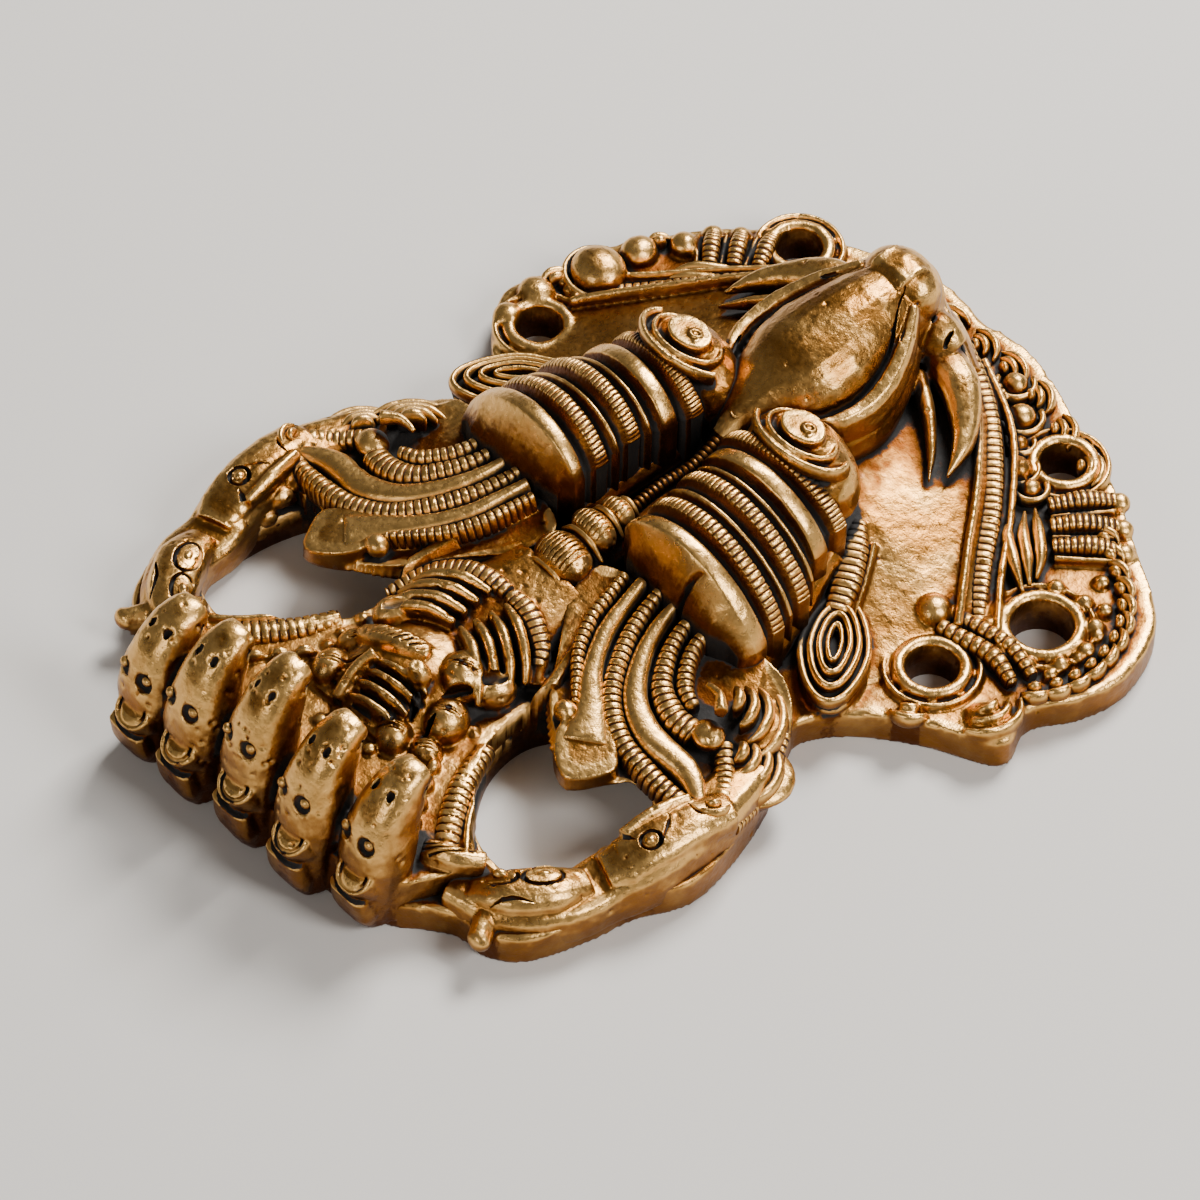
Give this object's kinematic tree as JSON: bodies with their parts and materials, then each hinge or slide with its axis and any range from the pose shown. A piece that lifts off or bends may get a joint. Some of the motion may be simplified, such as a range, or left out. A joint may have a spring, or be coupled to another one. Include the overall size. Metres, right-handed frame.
{
  "type": "mask wall hanging",
  "caption": "Small cast brass lion-faced guardian mask for a wall, with ribbed bulging eyes, a hooded snake crown, looped side necks, a pierced jaw and a hollow back.",
  "frame": {"origin": "middle of the bounding box, in the plane of the back rim", "axes": "+Z out of the face, +Y towards the crown, +X towards the narrow side of the jaw"},
  "size_m": [0.099, 0.1279, 0.0284],
  "materials": {
    "brass": "cast brass, rubbed bright on high relief, dark brown in the recesses"
  },
  "bodies": {
    "root": {"mask_casting": "brass"}
  },
  "joints": []
}
